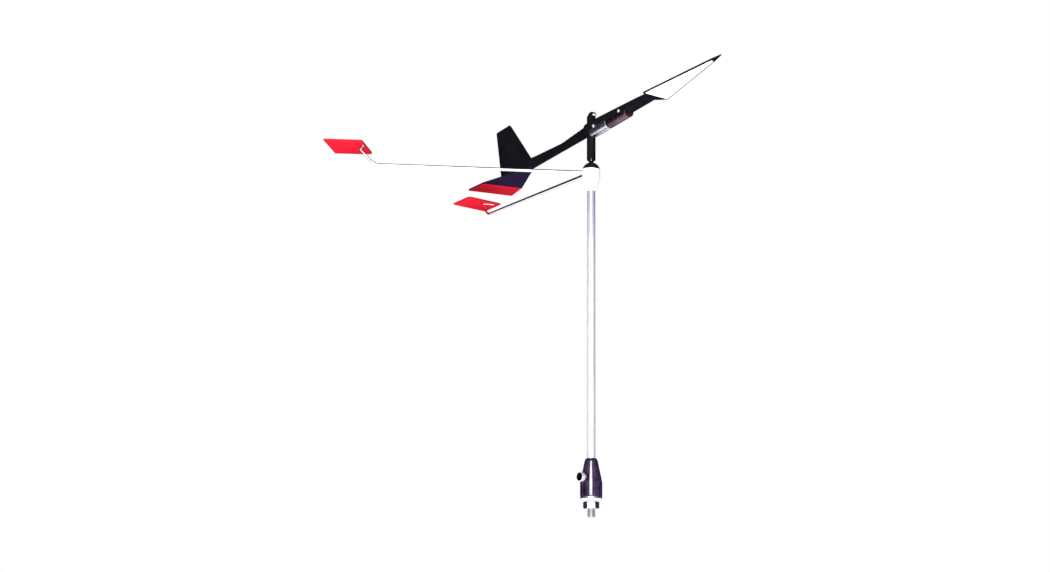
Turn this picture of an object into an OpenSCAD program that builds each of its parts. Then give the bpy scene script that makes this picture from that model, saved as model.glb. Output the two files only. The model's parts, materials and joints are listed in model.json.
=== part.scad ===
// Masthead wind vane on a clamped rod, with two adjustable reference tabs.
// Origin: centre of the lock nut's lower face. +Z up the rod, +X towards the bow.
// The vane's own frame has +X towards its nose; the tabs point aft, along -X.

/* [Stud, lock nut and base plug] */
// Diameter of the threaded stud
stud_d = 6; // [6:0.5:7]
// Length of stud below the lock nut
stud_free = 6.3; // [5:0.1:12]
// Width of the lock nut across its flats
nut_af = 10; // [10:0.5:11]
// Height of the lock nut
nut_h = 5; // [4:0.5:6]
// Direction of one of the lock nut's corners, from the bow
nut_turn = 26; // [0:1:59]
// Height of the base plug's conical lower part
plug_cone_h = 2.1; // [1.5:0.1:3]
// Height of the base plug's rim
plug_rim_h = 1.7; // [1:0.1:3]

/* [Base socket] */
// Diameter of the socket where it is straight
socket_d = 15.7; // [15:0.1:18]
// Height of the socket's straight part
socket_straight_h = 9.6; // [8:0.1:12]
// Height of the whole socket
socket_h = 26.6; // [24:0.1:32]
// Diameter at the top of the socket's taper
socket_neck_d = 9.4; // [9:0.1:11]
// Diameter of the clamp screw's head
screw_head_d = 6.6; // [6:0.1:7]
// Diameter of the clamp screw's thread
screw_d = 4; // [3:0.1:4]
// Direction that the clamp screw's head faces, from the bow
screw_azimuth = -110; // [-180:1:180]

/* [Rod and hub] */
// Diameter of the rod
rod_d = 6; // [5.6:0.1:6]
// Wall of the rod's tube
rod_wall = 1; // [0.6:0.1:1.2]
// Height of the hub's lower edge
hub_z = 230.7; // [180:0.1:300]
// Diameter of the hub
hub_d = 13.1; // [12.6:0.1:14]
// Height of one arm collar
collar_h = 2.2; // [2:0.1:2.4]
// Height of the hub's black cap
cap_h = 5.2; // [5:0.1:5.6]

/* [Tab arms] */
// Angle between each arm and the centreline, as set
arm_angle = 32; // [20:1:50]
// Distance from the hub's axis to the bend in the arm
arm_reach = 158; // [140:1:180]
// Arm diameter at the hub
arm_root_d = 2.6; // [2.2:0.1:2.8]
// Arm diameter at the bend
arm_end_d = 2; // [1.6:0.1:2.2]
// How far the arm climbs from the hub to the bend
arm_climb = 1.5; // [0:0.1:3]
// Distance that the raised end runs outwards
riser_run = 10.2; // [8:0.1:14]
// Height of the tab's underside above the arm's root
tab_lift = 13.7; // [12:0.1:16]
// Depth of a tab along its arm
tab_depth = 27.6; // [24:0.1:32]
// Width of a tab across its arm
tab_w = 33.6; // [28:0.1:38]
// Angle by which a tab's ends are skewed
tab_skew = 11.5; // [0:0.5:20]

/* [Vane] */
// Angle from the bow to the vane's nose
vane_heading = -38; // [-180:1:180]
// Distance from the pivot to the nose
nose_r = 187.4; // [170:0.1:200]
// Distance from the pivot to the tail
tail_r = 192.6; // [180:0.1:210]
// Height of the vane's underside
vane_z = 274; // [266:0.5:276]
// Distance from the pivot to the arrowhead's back edge
arrow_back = 99; // [90:1:110]
// Width of the arrowhead across its shoulders
arrow_w = 19; // [16:0.5:24]
// Angle by which the arrowhead banks to port
arrow_bank = 6; // [0:1:8]
// Angle by which the arrowhead climbs towards its tip
arrow_climb = 1; // [0:0.5:2]
// Width of the tail plate's rear edge
tail_w = 40; // [34:0.5:46]
// Distance from the pivot to the front of the tail's red strip
strip_front = 165.8; // [150:0.1:175]
// Height of the fin above the vane's underside
fin_h = 48.8; // [40:0.1:56]
// Diameter of the bearing tube
tube_d = 6.46; // [6:0.02:7]
// Diameter of the pivot needle
needle_d = 1.6; // [1.4:0.1:1.8]
// Diameter of the counterweight bar
weight_d = 8; // [7:0.1:8.4]
// Distance from the pivot to the counterweight's front end
weight_front = 60; // [53:1:80]

/* [Hidden] */
$fn = 64;

fit_gap = 0.05;      // radial clearance of a running fit
face_gap = 0.1;      // clearance between faces that turn past each other
film_t = 0.25;       // thickness of the reflective films
chamfer = 0.6;       // bevel at the stud's free end

// Base, from the lock nut's lower face upwards
thread_d = stud_d - 0.7;     // where the stud's thread is inside another piece
plug_z = nut_h;
socket_z = plug_z + plug_cone_h + plug_rim_h;
socket_top = socket_z + socket_h;
stud_top = socket_z + 4.2;
rod_z = stud_top + 1.6;
screw_z = rod_z + 7.3;
screw_boss_r = 8.4;
screw_head_h = 3;
screw_hex_af = 3;

// Hub
collar_z = hub_z + 11.6;
port_collar_z = collar_z + collar_h + face_gap;
collar_gap_z = port_collar_z - face_gap / 2;
post_d = 7.2;
cap_z = collar_z + 2 * collar_h + 2 * face_gap;
cap_top = cap_z + cap_h;
rod_top = hub_z + 9.7;
washer_t = 0.5;

// Arms
collar_d = hub_d;
root_r = collar_d / 2 + 2 * face_gap;
root_start = post_d / 2 + 0.8;
climb_angle = atan(arm_climb / arm_reach);
tab_z = collar_gap_z + tab_lift;
tab_t = 1.2;
foot_d = 1.3;
foot_angle = -106;
foot_z = tab_z - film_t - foot_d / 2;
riser_r = arm_reach + riser_run;
tab_inner_r = arm_reach + 4.9;
bend_z = collar_gap_z + arm_climb;

// Vane
taper_h = 1.7;
tube_z = cap_top + 0.4;
tube_top = vane_z + 12.6;
tube_bore_d = 4;
needle_tip_z = tube_top - 1.6;
boom_nose = arrow_back - 6;
boom_tail = -106;
plate_t = 1.2;
arrow_t = 0.9;
arrow_tip = [nose_r - 11.5, 1.8];    // where the arrowhead's edges turn in to its point
fin_t = 1.2;
window_azimuth = -26;
eye_y = 1.95;
eye_h = 2.1;
lug_h = 4.6;
window_z = [tube_z + taper_h - 0.1, vane_z - 1.4];
weight_z = vane_z + 0.2;
weight_back = 4.2;
weight_split = 30;
weight_screw_u = [10.7, 51];
weight_screw_z = vane_z + 2.9;
boom_half_w = 3.6;

// Points of the arc that rounds the corner q, between its neighbours p and s
function fillet(p, q, s, r, n) =
    let (a = (p - q) / norm(p - q),
         b = (s - q) / norm(s - q),
         half = acos(a * b) / 2,
         c = q + (a + b) / norm(a + b) * r / sin(half),
         t0 = q + a * r / tan(half) - c,
         t1 = q + b * r / tan(half) - c,
         a0 = atan2(t0.y, t0.x),
         turn = atan2(t0.x * t1.y - t0.y * t1.x, t0 * t1))
    [for (i = [0:n]) c + r * [cos(a0 + turn * i / n), sin(a0 + turn * i / n)]];

// Outline with corner i rounded to radius r[i]; 0 leaves it sharp
function rounded(pts, r, n = 6) =
    let (last = len(pts) - 1)
    [for (i = [0:last]) each
        r[i] == 0 ? [pts[i]]
        : fillet(pts[i == 0 ? last : i - 1], pts[i], pts[i == last ? 0 : i + 1], r[i], n)];

// Turns a shape drawn in the vane's own frame to the vane's heading
module on_vane() {
    rotate([0, 0, vane_heading]) children();
}

// Solid with the side outline pts (forward, up) and half width w
module side_plate(pts, w) {
    translate([0, w, 0]) rotate([90, 0, 0]) linear_extrude(2 * w) polygon(pts);
}

// Drawn along local +X, with the centreline of the pair on the +Y side
module on_port_arm() {
    rotate([0, 0, 180 - arm_angle]) children();
}

module on_starboard_arm() {
    rotate([0, 0, 180 + arm_angle]) mirror([0, 1, 0]) children();
}

// ---- Base ----

module threaded_stud() {
    color("silver") {
        translate([0, 0, -stud_free + chamfer])
            cylinder(d = stud_d, h = stud_free - chamfer);
        translate([0, 0, -stud_free])
            cylinder(d1 = stud_d - 2 * chamfer, d2 = stud_d, h = chamfer);
        cylinder(d = thread_d, h = stud_top);
    }
}

module lock_nut() {
    corner_d = nut_af / cos(30);
    color("silver") rotate([0, 0, nut_turn]) difference() {
        intersection() {
            cylinder(d = corner_d, h = nut_h, $fn = 6);
            // Both ends are turned to a cone, so the corners are bevelled
            union() {
                cylinder(d1 = nut_af, d2 = nut_af + 4, h = 1.1);
                translate([0, 0, 1.1]) cylinder(d = nut_af + 4, h = nut_h - 2.2);
                translate([0, 0, nut_h - 1.1]) cylinder(d1 = nut_af + 4, d2 = nut_af, h = 1.1);
            }
        }
        translate([0, 0, -1]) cylinder(d = thread_d, h = nut_h + 2);
        // Countersink at each end of the thread
        translate([0, 0, -0.01]) cylinder(d1 = stud_d + 0.62, d2 = thread_d, h = 0.7);
        translate([0, 0, nut_h - 0.69]) cylinder(d1 = thread_d, d2 = stud_d + 0.62, h = 0.7);
    }
}

module base_plug() {
    color("gainsboro") difference() {
        union() {
            translate([0, 0, plug_z])
                cylinder(d1 = nut_af + 1.2, d2 = socket_d - 0.1, h = plug_cone_h);
            translate([0, 0, plug_z + plug_cone_h])
                cylinder(d = socket_d - 0.1, h = plug_rim_h);
        }
        cylinder(d = thread_d, h = socket_top);
    }
}

module socket_boss() {
    rotate([0, 0, screw_azimuth]) translate([0, 0, screw_z]) rotate([0, 90, 0])
        cylinder(d = screw_head_d + 1.1, h = screw_boss_r);
}

module base_socket() {
    straight_top = socket_z + socket_straight_h;
    profile = [
        [0, socket_z],
        [socket_d / 2, socket_z],
        [socket_d / 2, straight_top],
        [socket_neck_d / 2, socket_top - 2],
        [socket_neck_d / 2 - 0.5, socket_top - 0.7],
        [socket_neck_d / 2 - 1.2, socket_top],
        [0, socket_top]
    ];
    color([0.07, 0.05, 0.09]) difference() {
        union() {
            rotate_extrude() polygon(profile);
            socket_boss();
        }
        translate([0, 0, rod_z - face_gap])
            cylinder(d = rod_d + 2 * fit_gap, h = socket_top);
        cylinder(d = thread_d, h = stud_top);
        rotate([0, 0, screw_azimuth]) translate([0, 0, screw_z]) rotate([0, 90, 0])
            cylinder(d = screw_d, h = socket_d);
    }
}

module clamp_screw() {
    tip = rod_d / 2 + face_gap + 0.02;
    head = screw_boss_r + face_gap;
    color("silver") rotate([0, 0, screw_azimuth]) translate([0, 0, screw_z]) rotate([0, 90, 0])
        difference() {
            union() {
                translate([0, 0, tip]) cylinder(d = screw_d - 2 * fit_gap, h = head - tip);
                translate([0, 0, head]) cylinder(d = screw_head_d, h = screw_head_h - 0.3);
                translate([0, 0, head + screw_head_h - 0.3])
                    cylinder(d1 = screw_head_d, d2 = screw_head_d - 0.6, h = 0.3);
            }
            translate([0, 0, head + screw_head_h - 1.6])
                cylinder(d = screw_hex_af / cos(30), h = 3, $fn = 6);
        }
}

// ---- Rod and hub ----

module mast_rod() {
    color("lightgray") difference() {
        translate([0, 0, rod_z]) cylinder(d = rod_d, h = rod_top - rod_z);
        translate([0, 0, rod_z - 1])
            cylinder(d = rod_d - 2 * rod_wall, h = rod_top - rod_z + 2);
    }
}

module hub_barrel() {
    r = hub_d / 2;
    profile = [
        [0, hub_z],
        [r - 2.8, hub_z],
        [r - 2.4, hub_z + 0.5],
        [r - 1.05, hub_z + 6.2],
        [r - 0.3, hub_z + 8.9],
        [r, hub_z + 10.2],
        [r, collar_z - face_gap],
        [post_d / 2, collar_z - face_gap],
        [post_d / 2, cap_z + 1.6],
        [0, cap_z + 1.6]
    ];
    color("white") difference() {
        rotate_extrude() polygon(profile);
        translate([0, 0, hub_z - 1]) cylinder(d = rod_d, h = rod_top - hub_z + 1);
        cylinder(d = needle_d, h = cap_top);
        translate([0, 0, collar_z - face_gap - washer_t]) difference() {
            cylinder(d = hub_d - 1.6, h = washer_t + 1);
            cylinder(d = post_d, h = washer_t + 1);
        }
    }
}

module wave_washer() {
    color("darkgray") translate([0, 0, collar_z - face_gap - washer_t]) difference() {
        cylinder(d = hub_d - 2, h = washer_t);
        translate([0, 0, -1]) cylinder(d = post_d + 0.4, h = washer_t + 2);
    }
}

module hub_cap() {
    rim_r = hub_d / 2 - 0.25;
    steps = 14;
    // Rises from the rim as a flattened dome
    dome = [for (i = [0:steps]) let (t = 90 * i / steps)
        [0.9 + (rim_r - 0.9) * pow(cos(t), 1.25), cap_z + cap_h * pow(sin(t), 1.15)]];
    color([0.09, 0.04, 0.1]) difference() {
        rotate_extrude() polygon(concat([[0, cap_z]], dome, [[0, cap_top]]));
        translate([0, 0, cap_z - 1]) cylinder(d = post_d, h = 2.6);
        cylinder(d = needle_d, h = cap_top + 1);
    }
}

module pivot_needle() {
    tip_h = 1.8;
    color("gainsboro") {
        translate([0, 0, rod_top + 0.5])
            cylinder(d = needle_d, h = needle_tip_z - tip_h - rod_top - 0.5);
        translate([0, 0, needle_tip_z - tip_h])
            cylinder(d1 = needle_d, d2 = 0.12, h = tip_h);
    }
}

// ---- Tab arms ----

// Ring that turns on the hub's post, with a channel for the arm's end
module collar(level) {
    color("white") difference() {
        translate([0, 0, level]) cylinder(d = collar_d, h = collar_h);
        arm_root(root_start, collar_d);
        translate([0, 0, level - 1]) cylinder(d = post_d + 2 * fit_gap, h = collar_h + 2);
    }
}

// Local +X along the arm. other_level is the bottom of the height that the other arm's
// collar turns in, so this arm's end is cut away there.
module arm(other_level) {
    color("silver") {
        difference() {
            arm_root(root_start, arm_reach);
            translate([0, 0, other_level]) cylinder(r = root_r, h = collar_h + face_gap);
        }
        arm_riser();
        arm_foot();
    }
}

// The tapered arm between two distances from the hub's axis
module arm_root(from, to) {
    step = (arm_root_d - arm_end_d) / arm_reach;
    translate([0, 0, collar_gap_z]) rotate([0, 90 - climb_angle, 0]) translate([0, 0, from])
        cylinder(d1 = arm_root_d - step * from, d2 = arm_root_d - step * to,
                 h = (to - from) / cos(climb_angle));
}

module arm_riser() {
    rise = foot_z - bend_z;
    length = sqrt(rise * rise + riser_run * riser_run);
    translate([arm_reach, 0, bend_z]) rotate([0, atan2(riser_run, rise), 0]) {
        sphere(d = arm_end_d * 1.12);
        cylinder(d1 = arm_end_d, d2 = foot_d - 0.2, h = length);
    }
}

// The end of the arm turns away from the centreline, along the tab's underside
module arm_foot() {
    length = tab_w * 0.3;
    translate([riser_r, 0, foot_z]) rotate([0, 0, foot_angle]) rotate([0, 90, 0])
        translate([0, 0, -0.8]) cylinder(d = foot_d, h = length);
}

module tab_outline(inset) {
    half = tab_w / 2 - inset;
    lean = tan(tab_skew);
    in_r = tab_inner_r + inset;
    out_r = tab_inner_r + tab_depth - inset;
    polygon(rounded([
        [in_r - half * lean, half],
        [in_r + half * lean, -half],
        [out_r + half * lean, -half],
        [out_r - half * lean, half]
    ], [2.2, 2.2, 0.8, 0.8]));
}

module tab() {
    color([0.45, 0.05, 0.08]) translate([0, 0, tab_z]) linear_extrude(tab_t) tab_outline(0);
}

module tab_film() {
    color("crimson") translate([0, 0, tab_z - film_t]) linear_extrude(film_t) tab_outline(0.5);
}

module port_collar() {
    on_port_arm() collar(port_collar_z);
}

module port_arm() {
    on_port_arm() arm(collar_z);
}

module port_tab() {
    on_port_arm() tab();
}

module port_reflector() {
    on_port_arm() tab_film();
}

module starboard_collar() {
    on_starboard_arm() collar(collar_z);
}

module starboard_arm() {
    on_starboard_arm() arm(collar_z + collar_h);
}

module starboard_tab() {
    on_starboard_arm() tab();
}

module starboard_reflector() {
    on_starboard_arm() tab_film();
}

// ---- Vane ----

module bearing_tube() {
    taper_top = tube_z + taper_h;
    color([0.04, 0.04, 0.05]) on_vane() difference() {
        union() {
            translate([0, 0, tube_z]) cylinder(d1 = 3.4, d2 = tube_d, h = taper_h);
            translate([0, 0, taper_top]) cylinder(d = tube_d, h = tube_top - taper_top);
        }
        translate([0, 0, taper_top + 1.6]) cylinder(d = tube_bore_d, h = tube_top);
        cylinder(d = needle_d + 0.8, h = tube_top);
        // Round windows through the tube's wall let rain out
        for (z = window_z)
            rotate([0, 0, window_azimuth]) translate([-tube_d, 0, z]) rotate([0, 90, 0])
                cylinder(d = 1.9, h = 2 * tube_d);
    }
}

module tube_cap() {
    dome_h = 2.2;
    lug_t = 1.4;
    steps = 10;
    dome = [for (i = [0:steps]) let (t = 90 * i / steps)
        [0.3 + (tube_d / 2 - 0.3) * cos(t), tube_top + dome_h * sin(t)]];
    color([0.04, 0.04, 0.05]) on_vane() difference() {
        union() {
            rotate_extrude() polygon(concat([[0, tube_top]], dome, [[0, tube_top + dome_h]]));
            // Lug across the dome, with an eye for a bird wire
            rotate([0, 0, window_azimuth]) translate([-lug_t / 2, 0, tube_top])
                rotate([90, 0, 90]) linear_extrude(lug_t) lug_outline();
        }
        rotate([0, 0, window_azimuth]) {
            translate([-tube_d, eye_y, tube_top + eye_h]) rotate([0, 90, 0])
                cylinder(d = 2.5, h = 2 * tube_d);
            translate([-tube_d, -0.1, tube_top + 1.3]) rotate([0, 90, 0])
                cylinder(d = 0.9, h = 2 * tube_d);
        }
    }
}

// Side view of the lug, from the tube's top upwards
module lug_outline() {
    polygon(rounded([
        [-tube_d / 2 + 0.15, 0],
        [tube_d / 2 - 0.1, 0],
        [eye_y + 1.75, eye_h],
        [eye_y + 1.3, eye_h + 1.75],
        [0.2, lug_h],
        [-1.9, eye_h + 1.1]
    ], [0, 0, 1.2, 0.9, 0.9, 1.8]));
}

module jewel_holder() {
    color("goldenrod") on_vane() translate([0, 0, tube_top - 3]) difference() {
        cylinder(d = tube_bore_d, h = 3);
        translate([0, 0, -1]) cylinder(d = 2.4, h = 3.4);
    }
}

module pivot_jewel() {
    color([0.75, 0.1, 0.25]) on_vane() translate([0, 0, tube_top - 2.3]) difference() {
        cylinder(d = 2.4, h = 1.7);
        translate([0, 0, -0.01]) cylinder(d1 = 1.9, d2 = 0.2, h = 0.82);
    }
}

module lower_guide() {
    guide_z = tube_z + taper_h + 1.6;
    color("ivory") on_vane() translate([0, 0, guide_z]) difference() {
        cylinder(d = tube_bore_d, h = 4);
        translate([0, 0, -1]) cylinder(d = needle_d + 0.16, h = 6);
    }
}

// Side outline of the boom: underside level, top edge with a kink behind the pivot
function boom_side() = [
    [boom_tail, vane_z],
    [boom_nose, vane_z],
    [boom_nose, vane_z + 3.6],
    [80, vane_z + 5.1],
    [47, vane_z + 6.6],
    [9, vane_z + 8.2],
    [-6, vane_z + 7.4],
    [-48, vane_z + 5.6],
    [-98, vane_z + 8.2],
    [boom_tail, vane_z + 8.8]
];

// Half of the boom's outline from above
function boom_edge() = [
    [boom_tail, 1.4],
    [-60, 1.7],
    [-9, 2.2],
    [-4, 4.2],
    [4, 4.2],
    [9, boom_half_w],
    [boom_nose, boom_half_w]
];

module boom() {
    edge = boom_edge();
    back = [for (i = [len(edge) - 1:-1:0]) [edge[i].x, -edge[i].y]];
    color([0.05, 0.05, 0.06]) on_vane() difference() {
        intersection() {
            side_plate(boom_side(), 6);
            translate([0, 0, vane_z - 1]) linear_extrude(20) polygon(concat(edge, back));
        }
        translate([0, 0, vane_z - 1]) cylinder(d = tube_d, h = 20);
        weight_bar(weight_back, weight_front);
        fin_tongue();
        arrow_tongue();
        weight_screw_shanks();
    }
}

// Round bar along the boom, between two distances from the pivot
module weight_bar(from, to) {
    translate([from, 0, weight_z]) rotate([0, 90, 0]) cylinder(d = weight_d, h = to - from);
}

module counterweight() {
    color([0.78, 0.74, 0.86]) on_vane() difference() {
        weight_bar(weight_back, weight_split);
        weight_screw_shanks();
    }
}

module trim_weight() {
    color([0.32, 0.2, 0.26]) on_vane() difference() {
        weight_bar(weight_split, weight_front);
        weight_screw_shanks();
    }
}

module weight_screw_shanks() {
    for (u = weight_screw_u)
        translate([u, 0, weight_screw_z]) rotate([90, 0, 0])
            cylinder(d = 1.4, h = boom_half_w);
}

module weight_screws() {
    color("silver") on_vane() {
        weight_screw_shanks();
        for (u = weight_screw_u)
            translate([u, -boom_half_w, weight_screw_z]) rotate([90, 0, 0])
                cylinder(d1 = 2.4, d2 = 1.7, h = 0.6);
    }
}

// Tilts a shape about the middle of the boom's front end, where z = 0 is the arrowhead's underside
module on_arrow() {
    translate([boom_nose, 0, vane_z]) rotate([-arrow_bank, -arrow_climb, 0])
        translate([-boom_nose, 0, 0]) children();
}

module arrow_tongue() {
    on_arrow() translate([boom_nose - 7, -2, 0]) cube([7.5, 4, arrow_t]);
}

module arrowhead() {
    half = arrow_w / 2;
    color([0.06, 0.05, 0.06]) on_vane() {
        on_arrow() linear_extrude(arrow_t) polygon([
            [boom_nose + face_gap, boom_half_w],
            [boom_nose + face_gap, -boom_half_w],
            [arrow_back, -half],
            [arrow_tip.x, -arrow_tip.y],
            [nose_r, 0],
            [arrow_tip.x, arrow_tip.y],
            [arrow_back, half]
        ]);
        arrow_tongue();
    }
}

module arrow_panel() {
    border = 0.7;
    start = arrow_back + 0.9;
    half = arrow_w / 2 - border;
    end_half = arrow_tip.y - border;
    color("white") on_vane() on_arrow() translate([0, 0, -film_t]) linear_extrude(film_t)
        polygon(rounded([
            [start, half],
            [start, -half],
            [arrow_tip.x, -end_half],
            [arrow_tip.x, end_half]
        ], [0.6, 0.6, 0.5, 0.5]));
}

function fin_side() = [
    [-166.4, vane_z + plate_t],
    [-179.5, vane_z + fin_h],
    [-152.4, vane_z + fin_h - 0.4],
    [-149.4, vane_z + fin_h - 2.6],
    [-108.6, vane_z + 9.2],
    [boom_tail, vane_z + 8.8],
    [boom_tail, vane_z + plate_t]
];

module fin_tongue() {
    side_plate([
        [boom_tail - 0.1, vane_z + 2],
        [-94, vane_z + 2],
        [-94, vane_z + 6],
        [boom_tail - 0.1, vane_z + 6]
    ], fin_t / 2);
}

module tail_fin() {
    color([0.05, 0.05, 0.06]) on_vane() {
        side_plate(fin_side(), fin_t / 2);
        fin_tongue();
    }
}

// Half width of the tail plate at a distance behind the pivot
function tail_half(r) = r < strip_front
    ? 1.4 + (tail_w / 2 - 3.9) * (r + boom_tail) / (strip_front + boom_tail)
    : tail_w / 2 - 2.5 + 2.5 * (r - strip_front) / (tail_r - strip_front);

module tail_outline(from, to, inset) {
    stations = from < strip_front ? [from, strip_front, to] : [from, to];
    edge = [for (r = stations) [-r, tail_half(r) - inset]];
    back = [for (i = [len(edge) - 1:-1:0]) [edge[i].x, -edge[i].y]];
    polygon(concat(edge, back));
}

module tail_plate() {
    color([0.08, 0.07, 0.14]) on_vane()
        translate([0, 0, vane_z]) linear_extrude(plate_t) tail_outline(-boom_tail, tail_r, 0);
}

module tail_reflector() {
    color("crimson") on_vane() translate([0, 0, vane_z - film_t]) linear_extrude(film_t)
        tail_outline(strip_front + 0.3, tail_r - 0.4, 0.4);
}

threaded_stud();
lock_nut();
base_plug();
base_socket();
clamp_screw();
mast_rod();
hub_barrel();
wave_washer();
hub_cap();
pivot_needle();
port_collar();
port_arm();
port_tab();
port_reflector();
starboard_collar();
starboard_arm();
starboard_tab();
starboard_reflector();
bearing_tube();
tube_cap();
jewel_holder();
pivot_jewel();
lower_guide();
boom();
counterweight();
trim_weight();
weight_screws();
arrowhead();
arrow_panel();
tail_fin();
tail_plate();
tail_reflector();
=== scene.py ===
"""Masthead wind vane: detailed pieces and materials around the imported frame. Lengths are in
millimetres until solid() turns them into metres."""
import json
import math

import bmesh
import bpy
from mathutils import Matrix, Vector


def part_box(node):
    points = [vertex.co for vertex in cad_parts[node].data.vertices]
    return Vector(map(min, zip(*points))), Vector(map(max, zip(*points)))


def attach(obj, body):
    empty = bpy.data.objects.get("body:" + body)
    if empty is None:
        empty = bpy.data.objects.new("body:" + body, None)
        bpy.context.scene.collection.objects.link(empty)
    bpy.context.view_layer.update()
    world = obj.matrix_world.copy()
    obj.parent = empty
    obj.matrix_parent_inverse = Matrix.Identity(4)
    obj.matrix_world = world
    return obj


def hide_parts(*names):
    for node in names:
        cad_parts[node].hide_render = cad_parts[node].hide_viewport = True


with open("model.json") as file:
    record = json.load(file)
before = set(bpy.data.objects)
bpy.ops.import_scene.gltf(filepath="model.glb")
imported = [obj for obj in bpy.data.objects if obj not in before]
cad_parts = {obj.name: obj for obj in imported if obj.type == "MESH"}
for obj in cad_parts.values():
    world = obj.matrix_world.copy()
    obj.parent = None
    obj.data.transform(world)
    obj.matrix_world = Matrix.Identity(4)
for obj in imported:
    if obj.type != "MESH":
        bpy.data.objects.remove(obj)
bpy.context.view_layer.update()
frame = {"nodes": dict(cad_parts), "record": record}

MM = 0.001
PIECES = bpy.data.collections.new("pieces")
SHINY = bpy.data.collections.new("shiny")
POLISHED = bpy.data.collections.new("polished")
METALS = ("stud_steel", "plug_metal", "screw_steel", "rod_metal", "arm_steel", "needle_steel",
          "weight_steel", "weight_bronze", "holder_brass")
GLOSSY_PLASTICS = ("socket_black", "cap_black", "hub_white")


def span(node):
    """The lowest and highest corners of a CAD node, in millimetres."""
    low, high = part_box(node)
    return low / MM, high / MM


def polar(r, degrees):
    return Vector((r * math.cos(math.radians(degrees)), r * math.sin(math.radians(degrees))))


# ---------------------------------------------------------------- camera, lights and floor

# Places in metres, angles in degrees and the lens in millimetres
AXIS_TO_CAMERA = 1.1417
CAMERA_AZIMUTH = -64.2
CAMERA_Z = -0.0683
CAMERA_PITCH = 11.3
LENS = 55.23
SHIFT_X = -0.06305
FLOOR_Z = -0.34
FLOOR_HALF = 12
WHITE = (1, 1, 1)
WORLD_FILL = (0.24, 0.24, 0.26)
GLOSS_SIDE = (0.03, 0.025, 0.04)
GLOSS_FRONT = (0.36, 0.34, 0.42)


def look(azimuth, pitch):
    """Rotation of a camera or light that faces the rod's axis from azimuth, tilted up by pitch."""
    flat = -polar(math.cos(math.radians(pitch)), azimuth)
    ahead = Vector((flat.x, flat.y, math.sin(math.radians(pitch))))
    return ahead.to_track_quat("-Z", "Y")


def add_camera():
    data = bpy.data.cameras.new("camera")
    data.sensor_width = 36
    data.lens = LENS
    data.shift_x = SHIFT_X
    data.clip_start = 0.01
    data.clip_end = 60
    camera = bpy.data.objects.new("camera", data)
    bpy.context.scene.collection.objects.link(camera)
    place = polar(AXIS_TO_CAMERA, CAMERA_AZIMUTH)
    camera.location = (place.x, place.y, CAMERA_Z)
    camera.rotation_mode = "QUATERNION"
    camera.rotation_quaternion = look(CAMERA_AZIMUTH, CAMERA_PITCH)
    bpy.context.scene.camera = camera


def soft_light(name, place, aim, size, watts, only=None, receivers=None):
    """A soft box at place that faces aim. size is (width, height) in metres. only narrows it to
    "diffuse" or "glossy" light, and receivers to a collection of pieces."""
    data = bpy.data.lights.new(name, "AREA")
    data.shape = "RECTANGLE"
    data.size, data.size_y = size
    data.energy = watts
    light = bpy.data.objects.new(name, data)
    bpy.context.scene.collection.objects.link(light)
    light.location = place
    light.rotation_mode = "QUATERNION"
    light.rotation_quaternion = (Vector(aim) - Vector(place)).to_track_quat("-Z", "Y")
    light.visible_camera = False
    light.visible_glossy = only != "diffuse"
    light.visible_diffuse = only != "glossy"
    if receivers:
        light.light_linking.receiver_collection = receivers


def mix_colours(tree, factor, a, b):
    """A colour mix in a node tree. a and b are colours or sockets."""
    node = tree.nodes.new("ShaderNodeMix")
    node.data_type = "RGBA"
    tree.links.new(factor, node.inputs["Factor"])
    for value, socket in ((a, node.inputs["A"]), (b, node.inputs["B"])):
        if isinstance(value, tuple):
            socket.default_value = (*value, 1)
        else:
            tree.links.new(value, socket)
    return node.outputs["Result"]


def add_world():
    """White where the camera sees it, a soft even fill, and reflections that are dim at the sides
    and brighter from the front."""
    world = bpy.data.worlds.new("studio")
    bpy.context.scene.world = world
    world.use_nodes = True
    tree = world.node_tree
    back = tree.nodes["Background"]
    path = tree.nodes.new("ShaderNodeLightPath")
    source = tree.nodes.new("ShaderNodeTexCoord")
    facing = tree.nodes.new("ShaderNodeVectorMath")
    facing.operation = "DOT_PRODUCT"
    facing.inputs[1].default_value = (*polar(1, CAMERA_AZIMUTH), 0.15)
    tree.links.new(source.outputs["Generated"], facing.inputs[0])
    front = tree.nodes.new("ShaderNodeMapRange")
    front.interpolation_type = "SMOOTHSTEP"
    front.inputs["From Min"].default_value = 0.2
    front.inputs["From Max"].default_value = 0.9
    tree.links.new(facing.outputs["Value"], front.inputs["Value"])
    gloss = mix_colours(tree, front.outputs["Result"], GLOSS_SIDE, GLOSS_FRONT)
    fill = mix_colours(tree, path.outputs["Is Glossy Ray"], WORLD_FILL, gloss)
    seen = mix_colours(tree, path.outputs["Is Camera Ray"], fill, WHITE)
    tree.links.new(seen, back.inputs["Color"])


def add_floor():
    mesh = bpy.data.meshes.new("floor")
    corners = [(x * FLOOR_HALF, y * FLOOR_HALF, FLOOR_Z) for x, y in ((-1, -1), (1, -1), (1, 1), (-1, 1))]
    mesh.from_pydata(corners, [], [(0, 1, 2, 3)])
    material = bpy.data.materials.new("floor")
    material.use_nodes = True
    shader = material.node_tree.nodes["Principled BSDF"]
    shader.inputs["Base Color"].default_value = (0.86, 0.86, 0.87, 1)
    shader.inputs["Roughness"].default_value = 0.9
    shader.inputs["Specular IOR Level"].default_value = 0.1
    shader.inputs["Emission Color"].default_value = (*WHITE, 1)
    shader.inputs["Emission Strength"].default_value = 0.4
    mesh.materials.append(material)
    floor = bpy.data.objects.new("floor", mesh)
    bpy.context.scene.collection.objects.link(floor)
    floor.visible_glossy = False


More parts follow.
